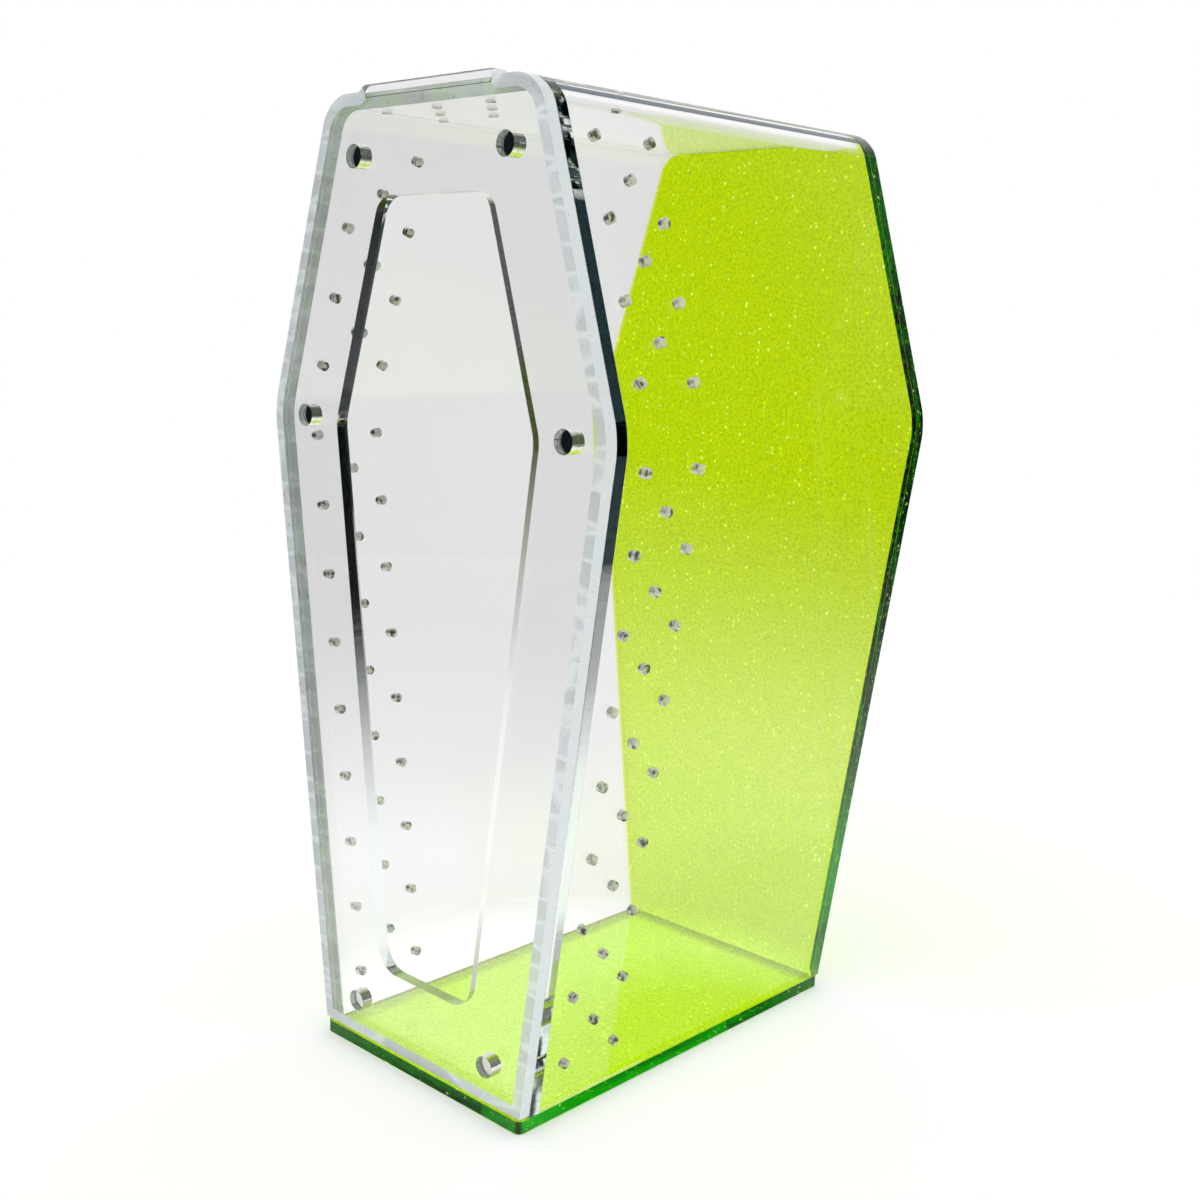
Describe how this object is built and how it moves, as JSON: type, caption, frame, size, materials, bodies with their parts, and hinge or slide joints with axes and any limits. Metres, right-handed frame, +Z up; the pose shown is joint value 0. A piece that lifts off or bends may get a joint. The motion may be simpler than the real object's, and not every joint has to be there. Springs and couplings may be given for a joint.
{
  "type": "acrylic terrarium",
  "caption": "Clear acrylic display terrarium with a coffin-shaped front, green glitter back and floor, staggered vent holes and a lift-off door held by magnets",
  "frame": {"origin": "centre of the floor panel's underside", "axes": "+Z up, the door faces -Y, +X to the right as seen from the door"},
  "size_m": [0.1052, 0.1134, 0.2213],
  "materials": {
    "clear_acrylic": "gloss",
    "green_glitter_acrylic": "gloss",
    "nickel_plating": "gloss"
  },
  "bodies": {
    "enclosure": {"floor_panel": "green_glitter_acrylic", "back_panel": "green_glitter_acrylic", "wall_shell": "clear_acrylic", "front_frame": "clear_acrylic", "frame_magnet_top_left": "nickel_plating", "frame_magnet_top_right": "nickel_plating", "frame_magnet_middle_left": "nickel_plating", "frame_magnet_middle_right": "nickel_plating", "frame_magnet_bottom_left": "nickel_plating", "frame_magnet_bottom_right": "nickel_plating"},
    "door": {"door": "clear_acrylic", "door_magnet_top_left": "nickel_plating", "door_magnet_top_right": "nickel_plating", "door_magnet_middle_left": "nickel_plating", "door_magnet_middle_right": "nickel_plating", "door_magnet_bottom_left": "nickel_plating", "door_magnet_bottom_right": "nickel_plating"}
  },
  "joints": [
    {"name": "door_lift_off", "type": "slide", "parent": "enclosure", "child": "door", "axis": [0, -1, 0], "range_m": [0, 0.12]}
  ]
}
